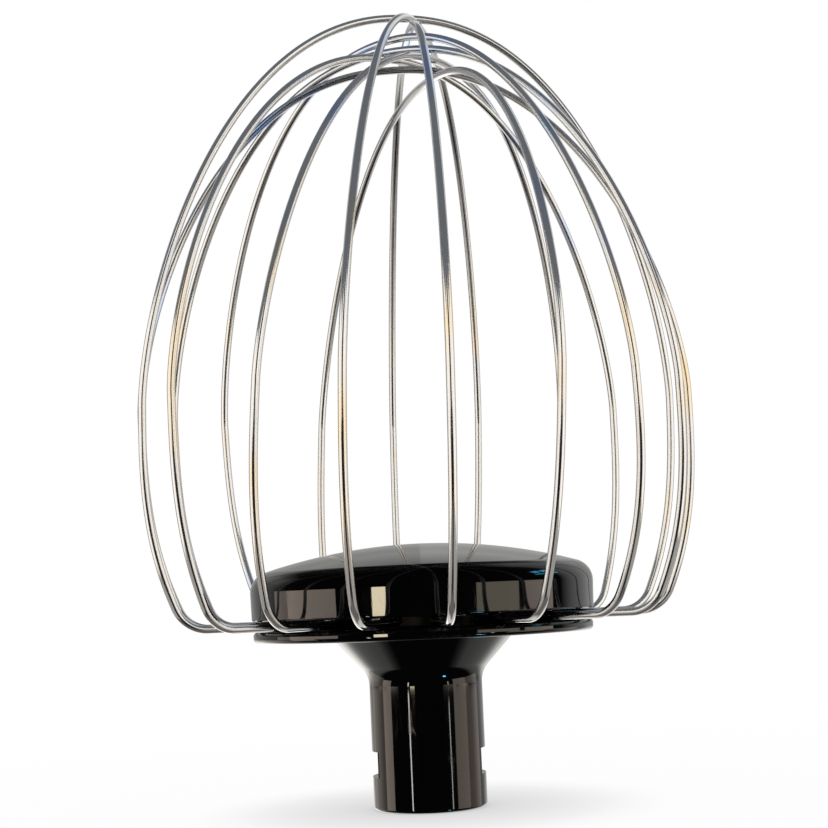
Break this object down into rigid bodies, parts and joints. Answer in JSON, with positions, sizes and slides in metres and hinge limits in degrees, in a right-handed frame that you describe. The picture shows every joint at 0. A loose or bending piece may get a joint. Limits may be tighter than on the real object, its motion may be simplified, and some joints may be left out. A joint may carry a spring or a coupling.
{
  "type": "balloon whisk attachment",
  "caption": "Balloon whisk for a stand mixer: a cage of bent steel wire loops clamped between a flange and a domed cap on a black hub whose bored stem has a bayonet for the drive shaft.",
  "frame": {"origin": "centre of the end face of the stem, on the part's axis", "axes": "+Z along the part's axis from the stem's end towards the top of the wire cage, -Y towards the viewer, +X to the viewer's right"},
  "size_m": [0.1356, 0.135, 0.1944],
  "materials": {
    "hub_plastic": "deep black, highly polished moulding",
    "wire_steel": "bright polished stainless steel wire, faint drawing marks along it",
    "plate_steel": "plain pressed and turned steel, satin"
  },
  "bodies": {
    "root": {"hub_body": "hub_plastic", "hub_cap": "hub_plastic", "clamp_plate": "plate_steel", "clamp_screw_1": "plate_steel", "clamp_screw_2": "plate_steel", "clamp_screw_3": "plate_steel", "clamp_screw_4": "plate_steel", "clamp_screw_5": "plate_steel", "clamp_screw_6": "plate_steel", "cap_screw": "plate_steel", "cap_screw_washer": "plate_steel", "wire_loop_1": "wire_steel", "wire_loop_2": "wire_steel", "wire_loop_3": "wire_steel", "wire_loop_4": "wire_steel", "wire_loop_5": "wire_steel", "wire_loop_6": "wire_steel", "wire_loop_7": "wire_steel", "wire_loop_8": "wire_steel", "wire_loop_9": "wire_steel"}
  },
  "joints": []
}
